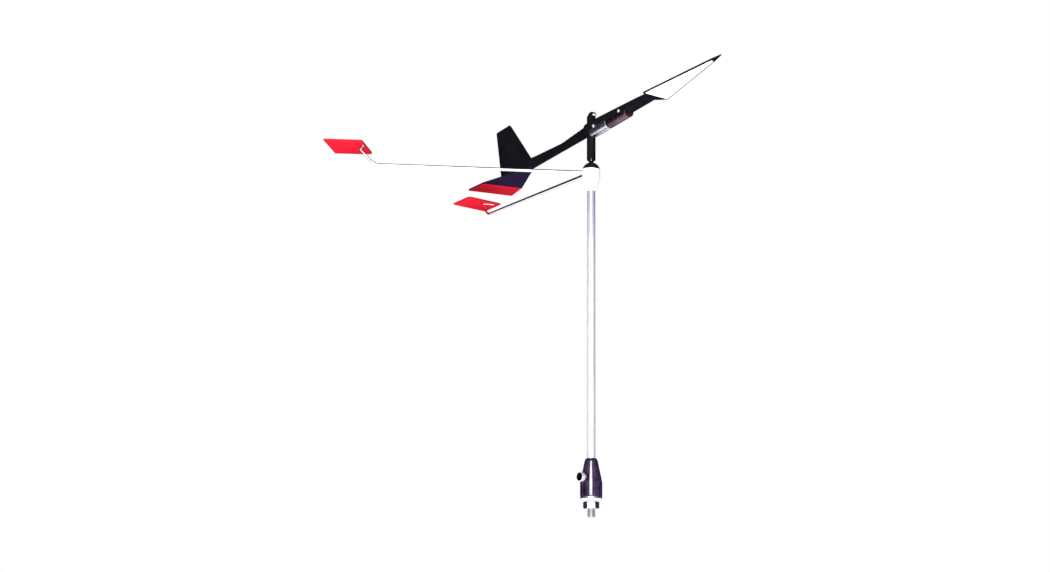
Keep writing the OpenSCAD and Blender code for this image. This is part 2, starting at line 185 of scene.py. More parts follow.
def add_lights():
    toward = polar(1, CAMERA_AZIMUTH)
    left = polar(1, CAMERA_AZIMUTH - 90)
    flash = toward * 1.15 + left * 0.3
    panel = toward * 1.5 + left * 0.08
    soft_light("flash", (flash.x, flash.y, -0.05), (0, 0, 0.15), (0.5, 0.4), 31, "diffuse", PIECES)
    soft_light("below", (0, -0.1, FLOOR_Z + 0.03), (0, -0.1, 0.3), (1.8, 1.8), 13, "diffuse", PIECES)
    soft_light("above", (-0.2, 0.1, 1.7), (0, 0, 0.2), (1.8, 1.8), 10, "diffuse")
    # Polished plastic mirrors a small bright panel, and bare metal a dimmer one and a bright floor
    soft_light("panel", (panel.x, panel.y, 0.4), (0, 0, 0.2), (0.75, 1.0), 42, "glossy", POLISHED)
    soft_light("wide_panel", (panel.x, panel.y, 0.2), (0, 0, 0.2), (1.2, 1.4), 15, "glossy", SHINY)
    soft_light("floor_glow", (0, 0, FLOOR_Z + 0.02), (0, 0, 0.3), (2.6, 2.6), 30, "glossy", SHINY)


# ---------------------------------------------------------------- materials


class Paint:
    """A Principled material and short calls for its procedural nodes."""

    def __init__(self, name, colour, roughness, metallic=0.0, **plain):
        self.material = bpy.data.materials.new(name)
        self.material.use_nodes = True
        self.tree = self.material.node_tree
        self.shader = self.tree.nodes["Principled BSDF"]
        self.shader.inputs["Base Color"].default_value = (*colour, 1)
        self.shader.inputs["Roughness"].default_value = roughness
        self.shader.inputs["Metallic"].default_value = metallic
        for key, value in plain.items():
            self.shader.inputs[key.replace("_", " ")].default_value = value

    def node(self, kind, **settings):
        node = self.tree.nodes.new(kind)
        for key, value in settings.items():
            setattr(node, key, value)
        return node

    def link(self, out, to):
        self.tree.links.new(out, to)

    def coordinates(self, stretch):
        """The piece's own coordinates, in metres, stretched along an axis for a grain."""
        source = self.node("ShaderNodeTexCoord")
        mapping = self.node("ShaderNodeMapping")
        mapping.inputs["Scale"].default_value = stretch
        self.link(source.outputs["Object"], mapping.inputs["Vector"])
        return mapping.outputs["Vector"]

    def height(self):
        """The height above the row's origin, in metres."""
        source = self.node("ShaderNodeTexCoord")
        parts = self.node("ShaderNodeSeparateXYZ")
        self.link(source.outputs["Object"], parts.inputs["Vector"])
        return parts.outputs["Z"]

    def noise(self, scale, detail=4.0, stretch=(1, 1, 1), roughness=0.55, place=None):
        """Noise over place, or over the piece's own stretched coordinates."""
        node = self.node("ShaderNodeTexNoise")
        node.inputs["Scale"].default_value = scale
        node.inputs["Detail"].default_value = detail
        node.inputs["Roughness"].default_value = roughness
        self.link(self.coordinates(stretch) if place is None else place, node.inputs["Vector"])
        return node.outputs["Fac"]

    def ramp(self, source, low, high, from_low=0.3, from_high=0.7):
        """source, remapped and clamped to run from low to high."""
        node = self.node("ShaderNodeMapRange")
        node.inputs["From Min"].default_value = from_low
        node.inputs["From Max"].default_value = from_high
        node.inputs["To Min"].default_value = low
        node.inputs["To Max"].default_value = high
        self.link(source, node.inputs["Value"])
        return node.outputs["Result"]

    def mix(self, factor, a, b):
        return mix_colours(self.tree, factor, a, b)

    def bump(self, height, strength, distance):
        node = self.node("ShaderNodeBump")
        node.inputs["Strength"].default_value = strength
        node.inputs["Distance"].default_value = distance
        self.link(height, node.inputs["Height"])
        return node.outputs["Normal"]

    def edges(self):
        """1 on worn convex edges, 0 elsewhere."""
        geometry = self.node("ShaderNodeNewGeometry")
        return self.ramp(geometry.outputs["Pointiness"], 0.0, 1.0, 0.52, 0.6)

    def product(self, source, number):
        node = self.node("ShaderNodeMath", operation="MULTIPLY")
        self.link(source, node.inputs[0])
        node.inputs[1].default_value = number
        return node.outputs["Value"]

    def finish(self, colour=None, roughness=None, normal=None):
        for source, name in ((colour, "Base Color"), (roughness, "Roughness"), (normal, "Normal")):
            if source is not None:
                self.link(source, self.shader.inputs[name])
        return self.material


# Painted shade: the lavender grey that the rod's top darkens to, and the height it fades in over, standing
# in for the shade under the hub.
TOP_SHADE = (0.3, 0.27, 0.4)
TOP_SHADE_FADE = 0.05


def metal(name, colour, dark, roughness, grain, depth=0.00002, metallic=1.0, shade_above=None):
    """Turned or drawn metal. grain stretches its fine lines, in cycles per metre along x, y and z,
    and depth is their height in metres. From the height shade_above, in metres, it is darkened by painted
    shade."""
    paint = Paint(name, colour, roughness, metallic=metallic)
    lines = paint.noise(1.0, 3.0, grain)
    smudge = paint.noise(90.0, 3.0)
    tone = paint.mix(paint.ramp(smudge, 0.0, 0.7), colour, dark)
    tone = paint.mix(paint.ramp(lines, 0.0, 0.35), tone, dark)
    # Painted shade: above this height the colour darkens towards a lavender grey, standing in for the hub's
    # shade on the rod's top.
    if shade_above:
        top_shade = paint.mix(paint.ramp(lines, 0.0, 1.0, 0.4, 0.6), dark, TOP_SHADE)
        share = paint.ramp(paint.height(), 0.0, 0.95, shade_above, shade_above + TOP_SHADE_FADE)
        tone = paint.mix(share, tone, top_shade)
    rough = paint.ramp(lines, roughness * 0.75, roughness * 1.35)
    return paint.finish(tone, rough, paint.bump(lines, 0.35, depth))


SKIN_DEPTH = 0.00003


def moulded(name, colour, light, roughness, coat=0.0, speckle=0.5, gloss=0.3):
    """Moulded plastic with a fine skin texture, faint clouding and paler worn edges."""
    paint = Paint(name, colour, roughness, Coat_Weight=coat, Coat_Roughness=0.12, Specular_IOR_Level=gloss)
    grain = paint.noise(900.0, 2.0)
    cloud = paint.noise(45.0, 4.0)
    tone = paint.mix(paint.ramp(cloud, 0.0, speckle), colour, light)
    tone = paint.mix(paint.product(paint.edges(), 0.6), tone, light)
    rough = paint.ramp(cloud, roughness * 0.85, roughness * 1.25)
    return paint.finish(tone, rough, paint.bump(grain, 0.3, SKIN_DEPTH))


def around_axis(paint, fine, along):
    """Coordinates by the direction from Z, times fine, and the height, times along, so that a grain
    runs straight up a cone or cylinder."""
    source = paint.node("ShaderNodeTexCoord")
    parts = paint.node("ShaderNodeSeparateXYZ")
    paint.link(source.outputs["Object"], parts.inputs["Vector"])
    flat = paint.node("ShaderNodeCombineXYZ")
    paint.link(parts.outputs["X"], flat.inputs["X"])
    paint.link(parts.outputs["Y"], flat.inputs["Y"])
    unit = paint.node("ShaderNodeVectorMath", operation="NORMALIZE")
    paint.link(flat.outputs["Vector"], unit.inputs[0])
    spread = paint.node("ShaderNodeVectorMath", operation="SCALE")
    spread.inputs["Scale"].default_value = fine
    paint.link(unit.outputs["Vector"], spread.inputs[0])
    lift = paint.node("ShaderNodeCombineXYZ")
    paint.link(paint.product(parts.outputs["Z"], along), lift.inputs["Z"])
    total = paint.node("ShaderNodeVectorMath", operation="ADD")
    paint.link(spread.outputs["Vector"], total.inputs[0])
    paint.link(lift.outputs["Vector"], total.inputs[1])
    return total.outputs["Vector"]


def streaked(name, colour, light, roughness):
    """Glossy moulding with fine vertical draw marks in its bump and roughness, and a paler purple painted
    along them as painted sheen.
    """
    paint = Paint(name, colour, roughness, Coat_Weight=1.0, Coat_Roughness=0.1, Specular_IOR_Level=0.25)
    marks_and_sheen = paint.noise(1.0, roughness=0.65, place=around_axis(paint, 9.0, 25.0))
    cloud = paint.noise(160.0, 3.0)
    # Painted sheen: the paler purple along the marks stands in for reflected light on the socket.
    tone = paint.mix(paint.ramp(marks_and_sheen, 0.0, 1.0, 0.42, 0.8), colour, light)
    tone = paint.mix(paint.ramp(cloud, 0.0, 0.8, 0.35, 0.7), tone, colour)
    tone = paint.mix(paint.product(paint.edges(), 0.3), tone, light)
    rough = paint.ramp(marks_and_sheen, roughness * 0.8, roughness * 1.4)
    return paint.finish(tone, rough, paint.bump(marks_and_sheen, 0.4, SKIN_DEPTH))


FILM_CELL = 0.0011


def film(name, colour, dark):
    """Retroreflective film: small sealed cells with slightly raised, darker walls."""
    paint = Paint(name, colour, 0.42, Specular_IOR_Level=0.08)
    place = paint.coordinates((1 / FILM_CELL, 1 / FILM_CELL, 0))
    cells = paint.node("ShaderNodeTexVoronoi", feature="DISTANCE_TO_EDGE")
    cells.inputs["Scale"].default_value = 1.0
    cells.inputs["Randomness"].default_value = 0.15
    paint.link(place, cells.inputs["Vector"])
    wall = paint.ramp(cells.outputs["Distance"], 1.0, 0.0, 0.02, 0.09)
    cloud = paint.noise(60.0, 3.0)
    tone = paint.mix(paint.ramp(cloud, 0.0, 0.55), colour, dark)
    tone = paint.mix(paint.product(wall, 0.3), tone, dark)
    rough = paint.ramp(cloud, 0.3, 0.45)
    return paint.finish(tone, rough, paint.bump(wall, 0.25, SKIN_DEPTH))


def clear_jewel(name, colour, dark):
    paint = Paint(name, colour, 0.06, Transmission_Weight=0.5, IOR=1.76)
    cloud = paint.noise(1500.0, 2.0)
    tone = paint.mix(paint.ramp(cloud, 0.0, 0.6), colour, dark)
    return paint.finish(tone, paint.ramp(cloud, 0.04, 0.1))


AROUND = (300, 300, 9000)
ALONG_Z = (9000, 9000, 120)
COARSE = (900, 900, 900)
MEDIUM = (1200, 1200, 1200)
FINE = (1500, 1500, 1500)
MATERIALS = {
    "stud_steel": metal("stud_steel", (0.8, 0.77, 0.78), (0.5, 0.46, 0.5), 0.2, AROUND),
    # Near-black painted shade for the clamp screw's end face and hex socket.
    "screw_painted_shade": metal("screw_painted_shade", (0.035, 0.03, 0.04), (0.012, 0.01, 0.014), 0.3, COARSE, 0.000004),
    "screw_steel": metal("screw_steel", (0.86, 0.84, 0.88), (0.6, 0.58, 0.63), 0.32, COARSE, 0.000004,
                         metallic=0.5),
    "plug_metal": metal("plug_metal", (0.86, 0.82, 0.88), (0.6, 0.55, 0.63), 0.26, AROUND),
    # Its darker lavender top is painted shade under the hub.
    "rod_metal": metal("rod_metal", (0.93, 0.92, 0.97), (0.7, 0.68, 0.8), 0.28, ALONG_Z, metallic=0.62,
                       shade_above=0.18),
    "arm_steel": metal("arm_steel", (0.93, 0.9, 0.92), (0.75, 0.68, 0.73), 0.12, FINE, 0.000002),
    "needle_steel": metal("needle_steel", (0.9, 0.9, 0.92), (0.7, 0.7, 0.72), 0.12, AROUND),
    "weight_steel": metal("weight_steel", (0.86, 0.82, 0.93), (0.6, 0.55, 0.7), 0.28, MEDIUM, 0.000006),
    "weight_bronze": metal("weight_bronze", (0.2, 0.12, 0.17), (0.09, 0.05, 0.08), 0.36, COARSE, 0.000008),
    "holder_brass": metal("holder_brass", (0.8, 0.6, 0.28), (0.5, 0.34, 0.14), 0.25, AROUND),
    # The paler purple here is painted sheen along the socket's draw marks.
    "socket_black": streaked("socket_black", (0.003, 0.001, 0.005), (0.105, 0.055, 0.17), 0.2),
    "cap_black": moulded("cap_black", (0.009, 0.002, 0.008), (0.028, 0.008, 0.028), 0.34, gloss=0.15),
    "vane_black": moulded("vane_black", (0.003, 0.003, 0.0042), (0.009, 0.0085, 0.012), 0.42, gloss=0.09),
    "tail_violet": moulded("tail_violet", (0.0085, 0.005, 0.02), (0.018, 0.012, 0.04), 0.42, gloss=0.09),
    "tab_plastic": moulded("tab_plastic", (0.34, 0.005, 0.014), (0.42, 0.018, 0.028), 0.4, gloss=0.12),
    "hub_white": moulded("hub_white", (0.84, 0.83, 0.83), (0.76, 0.75, 0.78), 0.3, coat=0.2, speckle=0.35),
    "guide_nylon": moulded("guide_nylon", (0.8, 0.77, 0.66), (0.7, 0.66, 0.54), 0.45),
    "red_film": film("red_film", (0.49, 0.006, 0.018), (0.42, 0.004, 0.015)),
    "white_film": film("white_film", (0.97, 0.97, 0.98), (0.88, 0.88, 0.92)),
    "jewel": clear_jewel("jewel", (0.62, 0.02, 0.1), (0.4, 0.01, 0.06)),
}


# ---------------------------------------------------------------- mesh tools


def corner(before, at, after, r, steps=5):
    """Points of the arc of radius r that rounds the corner at, between its two neighbours."""
    a = (before - at).normalized()
    b = (after - at).normalized()
    half = a.angle(b) / 2
    if half > math.radians(88) or r <= 0:
        return [at]
    reach = r / math.tan(half)
    limit = 0.49 * min((before - at).length, (after - at).length)
    if reach > limit:
        reach = limit
        r = reach * math.tan(half)
    centre = at + (a + b).normalized() * (r / math.sin(half))
    start = at + a * reach - centre
    end = at + b * reach - centre
    turn = start.angle(end)
    return [centre + start.slerp(end, i / steps).normalized() * r if turn > 1e-4 else at
            for i in range(steps + 1)]


def rounded(points, radii, closed=True, steps=5):
    """The outline through points with each corner rounded. radii is one radius or one per point."""
    points = [Vector(p) for p in points]
    radii = radii if isinstance(radii, (list, tuple)) else [radii] * len(points)
    made = []
    for i, point in enumerate(points):
        if not closed and i in (0, len(points) - 1):
            made.append(point)
        else:
            made += corner(points[i - 1], point, points[(i + 1) % len(points)], radii[i], steps)
    return made


def revolve(profile, steps=96, closed=False):
    """Turns (radius, z) points about Z. An open profile starts and ends on the axis."""
    verts, faces, rings = [], [], []
    for r, z in profile:
        if r < 1e-6:
            rings.append([len(verts)] * steps)
            verts.append((0, 0, z))
        else:
            rings.append([len(verts) + k for k in range(steps)])
            for k in range(steps):
                turn = 2 * math.pi * k / steps
                verts.append((r * math.cos(turn), r * math.sin(turn), z))
    pairs = list(zip(rings, rings[1:])) + ([(rings[-1], rings[0])] if closed else [])
    for low, high in pairs:
        for k in range(steps):
            n = (k + 1) % steps
            face = [low[k], low[n], high[n], high[k]]
            face = list(dict.fromkeys(face))
            if len(face) > 2:
                faces.append(face)
    return verts, faces


def loft(rings):
    """A closed skin over rings of points, with an end cap on the first and last."""
    size = len(rings[0])
    verts = [p for ring in rings for p in ring]
    faces = [list(range(size))[::-1], [len(verts) - size + k for k in range(size)]]
    for i in range(len(rings) - 1):
        for k in range(size):
            n = (k + 1) % size
            faces.append([i * size + k, i * size + n, (i + 1) * size + n, (i + 1) * size + k])
    return verts, faces


def slab(outline, low, high, ease=0.2, steps=3):
    """A flat plate over a 2-D outline, with rounded rims of radius ease."""
    outline = [Vector(p) for p in outline]
    rings = []
    stages = [(ease * (1 - math.sin(a)), low + ease * (1 - math.cos(a)))
              for a in [math.pi / 2 * i / steps for i in range(steps + 1)]]
    stages += [(inset, low + high - z) for inset, z in reversed(stages)]
    for inset, z in stages:
        rings.append([(p.x, p.y, z) for p in shrink(outline, inset)])
    return loft(rings)


def shrink(outline, inset):
    """The outline moved inwards by inset. Its points run anticlockwise."""
    moved = []
    for i, at in enumerate(outline):
        before = (at - outline[i - 1]).normalized()
        after = (outline[(i + 1) % len(outline)] - at).normalized()
        normal = Vector((-(before + after).y, (before + after).x)).normalized()
        lean = max(0.35, normal.dot(Vector((-before.y, before.x))))
        moved.append(at + normal * (inset / lean))
    return moved


def sweep(path, radius, sides):
    """A round bar along path, with a domed far end. radius(t) is its radius at the share t of its
    length."""
    lengths = [0.0]
    for a, b in zip(path, path[1:]):
        lengths.append(lengths[-1] + (b - a).length)
    side = None
    rings = []
    for i, at in enumerate(path):
        ahead = (path[min(i + 1, len(path) - 1)] - path[max(i - 1, 0)]).normalized()
        if side is None:
            side = ahead.orthogonal().normalized()
        side = (side - ahead * side.dot(ahead)).normalized()
        up = ahead.cross(side)
        r = radius(lengths[i] / lengths[-1])
        turns = [2 * math.pi * k / sides for k in range(sides)]
        ring = [side * math.cos(a) * r + up * math.sin(a) * r for a in turns]
        if i == len(path) - 1:
            for k in range(4):
                bend = math.pi / 2 * k / 3.3
                back = ahead * r * 0.35 * (1 - math.sin(bend))
                rings.append([at - back + p * math.cos(bend) for p in ring])
        else:
            rings.append([at + p for p in ring])
    return loft(rings)


def ringed(stages, steps=144):
    """Rings of points about Z. stages lists (radius as a function of the turn, z)."""
    rings = []
    for radius, z in stages:
        turns = [2 * math.pi * k / steps for k in range(steps)]
        rings.append([(radius(a) * math.cos(a), radius(a) * math.sin(a), z) for a in turns])
    return rings


def constant(r):
    """A radius that is the same all round."""
    return lambda turn: r


def joined(*shells):
    """Several (verts, faces) as one."""
    verts, faces = [], []
    for shell_verts, shell_faces in shells:
        base = len(verts)
        verts += [tuple(v) for v in shell_verts]
        faces += [[base + i for i in face] for face in shell_faces]
    return verts, faces


def rotation(degrees, axis):
    return Matrix.Rotation(math.radians(degrees), 4, axis)


def shift(x, y, z):
    return Matrix.Translation((x, y, z))


LIE_ALONG_X = rotation(90, "Y")


def moved(shell, matrix):
    verts, faces = shell
    return [matrix @ Vector(v) for v in verts], faces


def turned(shell, degrees):
    return moved(shell, rotation(degrees, "Z"))


def shade(mesh, sharp):
    """Smooth shading, with sharp edges where faces meet at more than sharp degrees."""
    mesh.shade_smooth()
    mesh.set_sharp_from_angle(angle=math.radians(sharp))


def make_mesh(name, shell, sharp=32):
    mesh = bpy.data.meshes.new(name)
    verts, faces = shell
    mesh.from_pydata([tuple(Vector(v) * MM) for v in verts], [], faces)
    work = bmesh.new()
    work.from_mesh(mesh)
    bmesh.ops.remove_doubles(work, verts=work.verts, dist=1e-7)
    bmesh.ops.recalc_face_normals(work, faces=work.faces)
    work.to_mesh(mesh)
    work.free()
    shade(mesh, sharp)
    return mesh


def combine(piece, shell, operation, sharp):
    """Adds a shell to a piece's mesh, or takes it out."""
    tool = bpy.data.objects.new("tool", make_mesh("tool", shell))
    bpy.context.scene.collection.objects.link(tool)
    modifier = piece.modifiers.new("shape", "BOOLEAN")
    modifier.operation = operation
    modifier.solver = "EXACT"
    modifier.object = tool
    bpy.context.view_layer.update()
    shaped = piece.evaluated_get(bpy.context.evaluated_depsgraph_get())
    mesh = bpy.data.meshes.new_from_object(shaped)
    piece.modifiers.clear()
    piece.data = mesh
    bpy.data.objects.remove(tool)
    shade(mesh, sharp)


def add_to_lights(piece, slot):
    PIECES.objects.link(piece)
    if slot in METALS:
        SHINY.objects.link(piece)
    if slot in GLOSSY_PLASTICS:
        POLISHED.objects.link(piece)


def solid(name, shell, body, slot, *nodes, add=(), cut=(), sharp=32):
    """A piece of the object from a shell in millimetres, which rides on body and replaces nodes. add and
    cut list shells to join and to take out."""
    piece = bpy.data.objects.new(name, make_mesh(name, shell, sharp))
    bpy.context.scene.collection.objects.link(piece)
    for tool in add:
        combine(piece, tool, "UNION", sharp)
    for tool in cut:
        combine(piece, tool, "DIFFERENCE", sharp)
    piece.data.materials.clear()
    piece.data.materials.append(MATERIALS[slot])
    add_to_lights(piece, slot)
    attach(piece, body)
    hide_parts(*nodes)
    return piece


def bar(r, start, end, ease=0.2, steps=40):
    """A round bar along Z with rounded rims."""
    profile = [(0, start), (r, start), (r, end), (0, end)]
    return revolve(rounded(profile, [0, ease, ease, 0], closed=False), steps)


# ---------------------------------------------------------------- base

THREAD_PITCH = 1.0
THREAD_DEPTH = 0.55
THREAD_BEVEL = 0.7
ROWS_PER_TURN = 10
NUT_TURN = 26
NUT_INNER_R = 5.0
SCREW_AZIMUTH = -110


def thread(r, low, high, sides=64):
    """A bar with a helical thread, bevelled at its lower end."""
    rows = int((high - low) / THREAD_PITCH * ROWS_PER_TURN)
    rings = []
    for row in range(rows + 1):
        z = low + (high - low) * row / rows
        ring = []
        for k in range(sides):
            phase = (z / THREAD_PITCH - k / sides) % 1
            groove = min(1.0, max(0.0, abs(phase - 0.5) * 2.6 - 0.2))
            at = min(r - THREAD_DEPTH * groove, r - THREAD_BEVEL + (z - low))
            turn = 2 * math.pi * k / sides
            ring.append((at * math.cos(turn), at * math.sin(turn), z))
        rings.append(ring)
    return loft(rings)


def stud():
    low, high = span("threaded_stud")
    nut_top = span("lock_nut")[1].z
    r = high.x
    shank = bar(r - 0.6, nut_top - 0.5, high.z)
    solid("threaded_stud_piece", joined(thread(r, low.z, nut_top), shank),
          "base", "stud_steel", "threaded_stud", sharp=50)


def soft_min(values, blend):
    return -blend * math.log(sum(math.exp(-v / blend) for v in values))


def hex_radius(inner, turn, blend=0.1):
    """Distance to the side of a hexagon of inner radius inner, with slightly rounded corners."""
    slopes = [math.cos(turn - math.radians(60 * k + 30)) for k in range(6)]
    return soft_min([inner / slope for slope in slopes if slope > 0.4], blend)


def nut():
    height = span("lock_nut")[1].z
    bore = 3.0
    steps = 180
    lift = [0, 0.05, 0.12, 0.2, 0.28, 0.36, 0.46, 0.6, 0.8]
    levels = lift + [height / 2] + [height - z for z in reversed(lift)]

    def side(z):
        """The hexagon's side at the height z, cut by the bevel cones at both ends."""
        cone = NUT_INNER_R - 0.12 + 1.82 * min(z, height - z)
        return lambda turn: soft_min([hex_radius(NUT_INNER_R, turn), cone], 0.05)

    stages = [(constant(bore), 0.6), (constant(bore + 0.32), 0.02), (constant(bore + 0.42), 0)]
    stages += [(side(z), z) for z in levels]
    stages += [(constant(bore + 0.42), height), (constant(bore), height - 0.4)]
    rings = ringed(stages, steps)
    verts = [p for ring in rings for p in ring]
    faces = []
    for i in range(len(rings)):
        j = (i + 1) % len(rings)
        for k in range(steps):
            n = (k + 1) % steps
            faces.append([i * steps + k, i * steps + n, j * steps + n, j * steps + k])
    solid("lock_nut_piece", turned((verts, faces), NUT_TURN), "base", "stud_steel", "lock_nut", sharp=28)


def plug():
    low, high = span("base_plug")
    r = high.x
    bore, nut_r, cone_h, bevel = 2.7, 5.6, 2.1, 0.35
    profile = [(bore, low.z), (nut_r, low.z), (r, low.z + cone_h), (r, high.z - bevel), (r - bevel, high.z),
               (bore, high.z)]
    outline = rounded(profile, [0, 0.25, 0.3, 0.15, 0.1, 0])
    solid("base_plug_piece", revolve(outline, closed=True), "base", "plug_metal", "base_plug")


def on_screw_axis(shell, z):
    """Moves a shell drawn along +Z onto the clamp screw's axis, at the height z."""
    return moved(shell, shift(0, 0, z) @ rotation(SCREW_AZIMUTH, "Z") @ LIE_ALONG_X)


def socket():
    low, high = span("base_socket")
    rod_low, rod_high = span("mast_rod")
    screw_low, screw_high = span("clamp_screw")
    screw_z = (screw_low.z + screw_high.z) / 2
    boss_r = (screw_high.z - screw_low.z) / 2 + 0.55
    r = high.x
    neck_r, straight_h = 4.7, 9.6
    bore = rod_high.x + 0.05
    floor = rod_low.z - 0.1
    profile = [(0, low.z), (r, low.z), (r, low.z + straight_h), (neck_r, high.z - 2),
               (neck_r - 0.5, high.z - 0.7), (neck_r - 1.2, high.z), (bore, high.z), (bore, floor),
               (0, floor)]
    outline = rounded(profile, [0, 0.35, 2.5, 0.6, 0.5, 0.4, 0.12, 0, 0], closed=False, steps=6)
    solid("base_socket_piece", revolve(outline, 128), "base", "socket_black", "base_socket",
          add=[on_screw_axis(bar(boss_r, 4.2, 8.4, 0.4, 64), screw_z)],
          cut=[on_screw_axis(bar(2.1, 2.2, 9.5, 0, 32), screw_z)], sharp=28)


def clamp_screw():
    low, high = span("clamp_screw")
    screw_z = (low.z + high.z) / 2
    head_r = (high.z - low.z) / 2
    shank_r, tip, base, top = 1.9, 3.15, 8.5, 11.5
    hex_inner_r, hex_deep = 1.5, 1.5

    def knurl(turn):
        return head_r - 0.13 * (0.5 - 0.5 * math.cos(36 * turn))

    def socket_wall(grow):
        return lambda turn: hex_radius(hex_inner_r, turn, 0.03) + grow

    stages = [(constant(shank_r - 0.3), tip), (constant(shank_r), tip + 0.3), (constant(shank_r), base),
              (constant(head_r - 0.3), base), (constant(head_r - 0.1), base + 0.15),
              (knurl, base + 0.3), (knurl, top - 0.6),
              (constant(head_r - 0.05), top - 0.45), (constant(head_r - 0.16), top - 0.18),
              (constant(head_r - 0.36), top - 0.03), (constant(head_r - 0.5), top),
              (socket_wall(0.2), top), (socket_wall(0), top - 0.18), (socket_wall(0), top - hex_deep),
              (constant(0.05), top - hex_deep - 0.5)]
    piece = solid("clamp_screw_piece", on_screw_axis(loft(ringed(stages)), screw_z),
                  "clamp_screw", "screw_steel", "clamp_screw", sharp=28)
    # The end face and the hex socket get a near-black material: painted shade, standing in for the shade in
    # the recess and on the face.
    piece.data.materials.append(MATERIALS["screw_painted_shade"])
    outward = polar(1, SCREW_AZIMUTH).to_3d()
    for face in piece.data.polygons:
        at = face.center / MM - Vector((0, 0, screw_z))
        reach = at.dot(outward)
        off_axis = (at - outward * reach).length
        if reach > top - 0.1 or (reach > top - hex_deep - 0.6 and off_axis < shank_r):
            face.material_index = 1


# ---------------------------------------------------------------- rod and hub


HUB_POST_R = 3.6
NEEDLE_R = 0.8
ROD_WALL = 1


def rod():
    low, high = span("mast_rod")
    r = high.x
    bore = r - ROD_WALL
    outline = rounded([(r, low.z), (r, high.z), (bore, high.z), (bore, low.z)], [0.2, 0.2, 0.1, 0.1])
    solid("mast_rod_piece", revolve(outline, 96, closed=True), "mast", "rod_metal", "mast_rod")


def hub():
    low, high = span("hub_barrel")
    washer_low, washer_high = span("wave_washer")
    rod_high = span("mast_rod")[1]
    r = high.x
    top = washer_high.z
    recess_r = r - 0.8
    profile = [(rod_high.x, low.z), (r - 2.8, low.z), (r - 2.4, low.z + 0.5), (r - 1.05, low.z + 6.2),
               (r - 0.3, low.z + 8.9), (r, low.z + 10.2), (r, top), (recess_r, top),
               (recess_r, washer_low.z), (HUB_POST_R, washer_low.z), (HUB_POST_R, high.z),
               (NEEDLE_R, high.z), (NEEDLE_R, rod_high.z), (rod_high.x, rod_high.z)]
    radii = [0.15, 0.3, 1.2, 4, 3, 2, 0.2, 0.08, 0, 0, 0.1, 0, 0, 0]
    outline = rounded(profile, radii, steps=6)
    solid("hub_barrel_piece", revolve(outline, 96, closed=True), "mast", "hub_white", "hub_barrel")


def hub_cap():
    """A dome that flares a little at its rim and flattens round the needle."""
    low, high = span("hub_cap")
    post_top = span("hub_barrel")[1].z
    flat_r, lip, steps = 0.9, 0.12, 24
    rim = high.x
    height = high.z - low.z
    dome = [(rim - 0.15, low.z), (rim, low.z + lip)]
    for i in range(1, steps + 1):
        turn = math.radians(90 * i / steps)
        r = flat_r + (rim - flat_r) * max(0.0, math.cos(turn)) ** 1.25
        dome.append((r, low.z + max(lip, height * math.sin(turn) ** 1.15)))
    dome += [(NEEDLE_R, high.z), (NEEDLE_R, post_top), (HUB_POST_R, post_top), (HUB_POST_R, low.z)]
    solid("hub_cap_piece", revolve(dome, 96, closed=True), "mast", "cap_black", "hub_cap")


# ---------------------------------------------------------------- tab arms

ARM_ANGLE = 32
ARM_REACH = 158
ARM_ROOT = 6.5
ARM_CLIMB = 1.5
RISER_RUN = 10.2
FOOT_LENGTH = 10.1
FOOT_ANGLE = -106
FOOT_START = 0.86
TAB_SKEW = 11.5
TAB_INNER = ARM_REACH + 4.9
TAB_DEPTH = 27.6
TAB_WIDTH = 33.6


def on_arm(shell, side):
    """From local axes, +X along the arm and +Y towards the centreline, to the port or starboard arm."""
    if side == "port":
        return turned(shell, 180 - ARM_ANGLE)
    return moved(shell, rotation(180 + ARM_ANGLE, "Z") @ Matrix.Diagonal((1, -1, 1, 1)))


def arm_radius(t):
    """The arm tapers towards its foot, at the share FOOT_START of its length, which is thinner."""
    taper = min(1, t / FOOT_START)
    foot = max(0, min(1, (t - FOOT_START) / 0.06))
    return 1.3 - 0.3 * taper - 0.35 * foot


def tab_outline(inset):
    half = TAB_WIDTH / 2 - inset
    lean = math.tan(math.radians(TAB_SKEW))
    low, high = TAB_INNER + inset, TAB_INNER + TAB_DEPTH - inset
    points = [(low + half * lean, -half), (high + half * lean, -half),
              (high - half * lean, half), (low - half * lean, half)]
    return rounded(points, [2.2, 0.8, 0.8, 2.2], steps=6)


def collar(side):
    low, high = span(side + "_collar")
    r = span("hub_barrel")[1].x
    bore = 3.65
    ring = rounded([(bore, low.z), (r, low.z), (r, high.z), (bore, high.z)], [0.08, 0.25, 0.25, 0.08])
    solid(side + "_collar_piece", revolve(ring, 96, closed=True),
          side + "_arm", "hub_white", side + "_collar")


def arm(side):
    """A rod that leaves the hub between the two collars, rises to the tab and turns under it."""
    root_z = (span("port_collar")[0].z + span("starboard_collar")[1].z) / 2
    foot_z = span(side + "_reflector")[0].z - 0.65
    root = Vector((ARM_ROOT, 0, root_z))
    bend = Vector((ARM_REACH, 0, root_z + ARM_CLIMB))
    riser = Vector((ARM_REACH + RISER_RUN, 0, foot_z))
    foot = riser + polar(FOOT_LENGTH, FOOT_ANGLE).to_3d()
    path = [root, root + (bend - root) * 0.5]
    path += corner(root, bend, riser, 9, 10)
    path += corner(bend, riser, foot, 1.0, 8)
    path.append(foot)
    solid(side + "_arm_piece", on_arm(sweep(path, arm_radius, 24), side),
          side + "_arm", "arm_steel", side + "_arm")


def tab(side):
    low, high = span(side + "_tab")
    plate = slab(tab_outline(0), low.z, high.z, 0.3)
    solid(side + "_tab_piece", on_arm(plate, side), side + "_arm", "tab_plastic", side + "_tab")
    film_low, film_high = span(side + "_reflector")
    sheet = slab(tab_outline(0.5), film_low.z, film_high.z, 0.08, 2)
    solid(side + "_reflector_piece", on_arm(sheet, side), side + "_arm", "red_film", side + "_reflector")


# ---------------------------------------------------------------- vane

